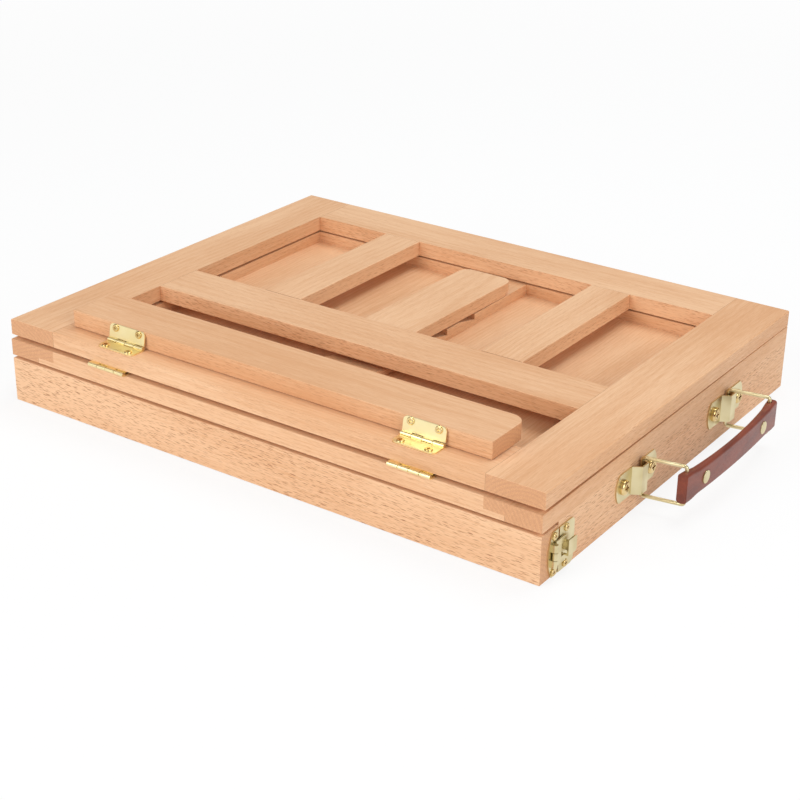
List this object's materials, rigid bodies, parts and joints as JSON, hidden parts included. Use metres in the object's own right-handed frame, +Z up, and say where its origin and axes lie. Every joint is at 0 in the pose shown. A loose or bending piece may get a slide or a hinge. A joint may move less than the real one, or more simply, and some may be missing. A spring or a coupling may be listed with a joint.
{
  "type": "box easel",
  "caption": "Desktop box easel in beech: shallow box with a drawer, hinged easel frame with prop strut and notched board, folding canvas ledge, latch and carrying handle.",
  "frame": {"origin": "middle of the box's underside, on the table", "axes": "+X to the right towards the handle, +Y to the back, +Z up"},
  "size_m": [0.3794, 0.2813, 0.0604],
  "materials": {
    "beech": "satin, light oil",
    "plywood": "sanded",
    "brass_plate": "bright plated",
    "grip_brown": "glossy"
  },
  "bodies": {
    "case": {"case_side_left": "beech", "case_side_right": "beech", "case_back": "beech", "case_bottom_panel": "plywood", "tray_stile_left": "beech", "tray_stile_right": "beech", "tray_rail_front": "beech", "tray_rail_back": "beech", "tray_floor_panel": "plywood", "ratchet_board": "beech", "frame_hinge_lower_leaves": "brass_plate", "frame_hinge_pins": "brass_plate", "frame_hinge_lower_screws": "brass_plate", "handle_brackets": "brass_plate", "handle_bracket_screws": "brass_plate", "latch_catch_plate": "brass_plate", "latch_catch_screws": "brass_plate"},
    "easel_frame": {"easel_stile_left": "beech", "easel_stile_right": "beech", "easel_rail_front": "beech", "easel_rail_centre": "beech", "easel_rail_back": "beech", "easel_cross_bar_left": "beech", "easel_cross_bar_right": "beech", "easel_dowels": "beech", "frame_hinge_upper_leaves": "brass_plate", "frame_hinge_upper_screws": "brass_plate", "ledge_hinge_lower_leaves": "brass_plate", "ledge_hinge_pins": "brass_plate", "ledge_hinge_lower_screws": "brass_plate", "strut_hinge_rail_leaf": "brass_plate", "strut_hinge_rail_screws": "brass_plate", "strut_hinge_pin": "brass_plate"},
    "ledge": {"ledge_bar": "beech", "ledge_hinge_upper_leaves": "brass_plate", "ledge_hinge_upper_screws": "brass_plate"},
    "strut": {"prop_strut": "beech", "strut_hinge_strut_leaf": "brass_plate", "strut_hinge_strut_screws": "brass_plate"},
    "drawer": {"drawer_front": "beech", "drawer_side_left": "beech", "drawer_side_right": "beech", "drawer_back": "beech", "drawer_bottom": "plywood", "drawer_long_divider": "beech", "drawer_cross_divider_left": "beech", "drawer_cross_divider_right": "beech", "latch_base_plate": "brass_plate", "latch_base_screws": "brass_plate", "latch_pin": "brass_plate"},
    "hasp": {"latch_hasp": "brass_plate"},
    "bail_near": {"handle_bail_near": "brass_plate"},
    "bail_far": {"handle_bail_far": "brass_plate"},
    "grip": {"handle_grip": "grip_brown", "handle_grip_rivets": "brass_plate"}
  },
  "joints": [
    {"name": "frame_hinge", "type": "hinge", "parent": "case", "child": "easel_frame", "pos_m": [0, -0.1406, 0.0398], "axis": [1, 0, 0], "range_deg": [0, 41.75]},
    {"name": "strut_hinge", "type": "hinge", "parent": "easel_frame", "child": "strut", "pos_m": [0, -0.01709, 0.04118], "axis": [1, 0, 0], "range_deg": [-94.6, 0]},
    {"name": "ledge_hinge", "type": "hinge", "parent": "easel_frame", "child": "ledge", "pos_m": [0, -0.12832, 0.05134], "axis": [1, 0, 0], "range_deg": [0, 90]},
    {"name": "drawer_slide", "type": "slide", "parent": "case", "child": "drawer", "axis": [0, -1, 0], "range_m": [0, 0.2]},
    {"name": "hasp_hinge", "type": "hinge", "parent": "drawer", "child": "hasp", "pos_m": [0.1769, -0.13, 0.0132], "axis": [0, 0, -1], "range_deg": [0, 150]},
    {"name": "bail_near_hinge", "type": "hinge", "parent": "case", "child": "bail_near", "pos_m": [0.1767, -0.04355, 0.0189], "axis": [0, 0, 1], "range_deg": [-84, 66]},
    {"name": "bail_far_hinge", "type": "hinge", "parent": "case", "child": "bail_far", "pos_m": [0.1767, 0.05675, 0.0189], "axis": [0, 0, 1], "range_deg": [-84, 66]},
    {"name": "grip_hinge", "type": "hinge", "parent": "bail_near", "child": "grip", "pos_m": [0.19961, -0.03992, 0.0189], "axis": [0, 0, 1], "range_deg": [-66, 84]}
  ],
  "couplings": [
    {"joint": "strut_hinge", "follows": "frame_hinge", "ratio": -2.265},
    {"joint": "bail_far_hinge", "follows": "bail_near_hinge", "ratio": 1},
    {"joint": "grip_hinge", "follows": "bail_near_hinge", "ratio": -1}
  ]
}
